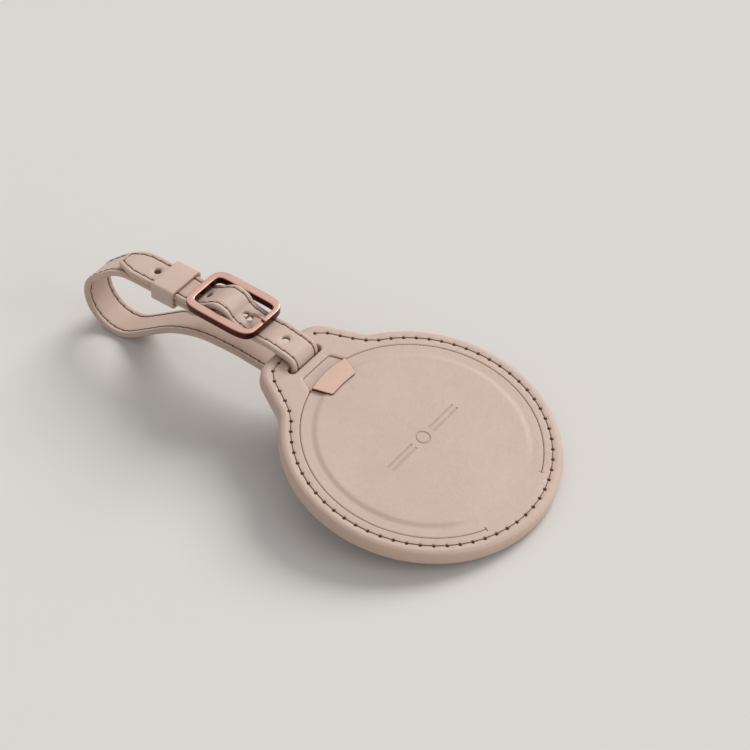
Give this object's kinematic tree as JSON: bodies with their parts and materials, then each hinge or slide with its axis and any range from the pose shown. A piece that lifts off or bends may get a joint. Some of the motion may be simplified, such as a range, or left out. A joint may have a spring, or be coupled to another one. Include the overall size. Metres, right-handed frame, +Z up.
{
  "type": "tracker tag",
  "caption": "Leather disc tag that houses a slim radio tracker under a flap, with a buckled strap loop for hanging it on a bag handle.",
  "frame": {"origin": "centre of the bounding box on the floor the tag lies on", "axes": "+X across the tag, +Y from the disc towards the strap's loop, +Z up, off the leather face"},
  "size_m": [0.0738, 0.147, 0.0301],
  "materials": {
    "leather_pink": "fine grained blush pink leather",
    "leather_tan": "smooth tan leather",
    "leather_edge": "painted leather edge",
    "thread": "waxed dark brown thread",
    "rose_gold": "polished rose gold plating",
    "shell_plastic": "fine matt moulded plastic",
    "dark_plastic": "matt dark plastic",
    "board_green": "solder mask over glass fibre board",
    "steel": "plain nickel steel",
    "copper": "bare copper",
    "card_stock": "uncoated off-white card",
    "clear_film": "clear film"
  },
  "bodies": {
    "tag": {"front_panel": "leather_pink", "core_frame": "leather_edge", "back_panel": "leather_pink", "perimeter_seam": "thread", "card_window": "clear_film", "id_card": "card_stock", "module_upper_shell": "shell_plastic", "module_lower_shell": "shell_plastic", "circuit_board": "board_green", "charging_coil": "copper", "ferrite_sheet": "dark_plastic", "battery_cell": "steel", "radio_can": "steel", "radio_antenna": "copper", "sound_disc": "copper", "dome_switch": "steel", "light_pipe": "clear_film"},
    "flap": {"front_flap": "leather_pink", "tab_tongue": "leather_pink", "tab_patch": "leather_tan"},
    "button": {"button_cap": "dark_plastic"},
    "strap": {"strap_band": "leather_pink", "strap_seam_left": "thread", "strap_seam_right": "thread"},
    "keeper": {"keeper_loop": "leather_pink"},
    "buckle": {"buckle_frame": "rose_gold", "buckle_bar": "rose_gold"},
    "prong": {"buckle_prong": "rose_gold"}
  },
  "joints": [
    {"name": "flap_hinge", "type": "hinge", "parent": "tag", "child": "flap", "pos_m": [0, -0.0665, 0.00598], "axis": [1, 0, 0], "range_deg": [0, 140]},
    {"name": "button_press", "type": "slide", "parent": "tag", "child": "button", "axis": [0, 0.2104, -0.9776], "range_m": [0, 0.00022], "stiffness_N_per_m": 400},
    {"name": "strap_swing", "type": "hinge", "parent": "tag", "child": "strap", "pos_m": [0, 0.00048, 0.01794], "axis": [1, 0, 0], "range_deg": [0, 6.5]},
    {"name": "keeper_slide", "type": "slide", "parent": "strap", "child": "keeper", "axis": [0, 0.999, 0.0439], "range_m": [-0.002, 0.006]},
    {"name": "buckle_rock", "type": "hinge", "parent": "strap", "child": "buckle", "pos_m": [0, 0.02403, 0.02641], "axis": [1, 0, 0], "range_deg": [-1.7, 1]},
    {"name": "prong_lift", "type": "hinge", "parent": "buckle", "child": "prong", "pos_m": [0, 0.02403, 0.02641], "axis": [-1, 0, 0], "range_deg": [0, 5]}
  ]
}
